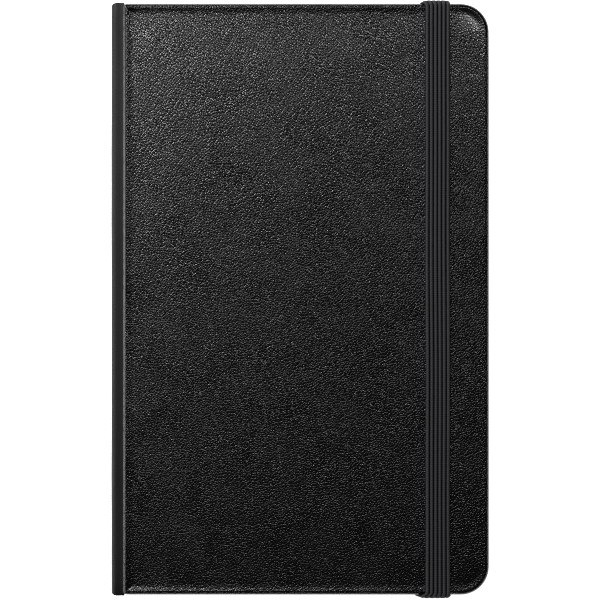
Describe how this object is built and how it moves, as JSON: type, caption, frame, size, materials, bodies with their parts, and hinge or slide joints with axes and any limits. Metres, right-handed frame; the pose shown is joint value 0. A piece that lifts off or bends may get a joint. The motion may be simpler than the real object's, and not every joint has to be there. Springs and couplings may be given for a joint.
{
  "type": "pocket notebook",
  "caption": "Case bound pocket notebook with rounded fore-edge corners, sewn sections and an elastic closure band; opens flat at its middle.",
  "frame": {"origin": "middle of the closed notebook's footprint, on the outer face of the back cover", "axes": "+X from the spine to the fore edge, +Y from the tail to the head, +Z from the back cover up to the front cover"},
  "size_m": [0.0896, 0.1416, 0.0156],
  "materials": {
    "cover_leather": "black pebbled coated leather cloth, satin with soft highlights on the grain",
    "board": "grey-brown binder's board",
    "endpaper": "ivory endpaper, matt",
    "page_paper": "ivory writing paper, matt, faintly ruled",
    "mull_gauze": "open weave gauze set in glue",
    "headband": "black woven bead",
    "elastic": "black ribbed woven elastic, dull sheen"
  },
  "bodies": {
    "back_cover": {"back_board": "board", "back_cover_leather": "cover_leather", "back_endpaper": "endpaper", "section_1": "page_paper", "section_2": "page_paper", "section_3": "page_paper", "section_4": "page_paper", "elastic_anchor_head": "elastic", "elastic_anchor_tail": "elastic", "elastic_turn_head": "elastic", "elastic_turn_tail": "elastic"},
    "spine": {"back_joint_leather": "cover_leather", "spine_leather": "cover_leather", "front_joint_leather": "cover_leather", "spine_liner": "board", "mull": "mull_gauze", "headband_head": "headband", "headband_tail": "headband"},
    "front_cover": {"front_board": "board", "front_cover_leather": "cover_leather", "front_endpaper": "endpaper", "section_5": "page_paper", "section_6": "page_paper", "section_7": "page_paper", "section_8": "page_paper"},
    "elastic": {"elastic_band": "elastic"}
  },
  "joints": [
    {"name": "back_joint", "type": "hinge", "parent": "back_cover", "child": "spine", "pos_m": [-0.04445, 0, 0.0003], "axis": [0, -1, 0], "range_deg": [0, 90], "deforming": ["back_joint_leather"]},
    {"name": "front_joint", "type": "hinge", "parent": "spine", "child": "front_cover", "pos_m": [-0.04445, 0, 0.0145], "axis": [0, -1, 0], "range_deg": [0, 90], "deforming": ["front_joint_leather"]},
    {"name": "elastic_swing", "type": "hinge", "parent": "back_cover", "child": "elastic", "pos_m": [0.03255, 0, 0.0074], "axis": [0, 1, 0], "range_deg": [0, 180], "deforming": ["elastic_band", "elastic_turn_head", "elastic_turn_tail"]}
  ],
  "couplings": [
    {"joint": "front_joint", "follows": "back_joint", "ratio": 1},
    {"joint": "elastic_swing", "follows": "back_joint", "ratio": 2}
  ]
}
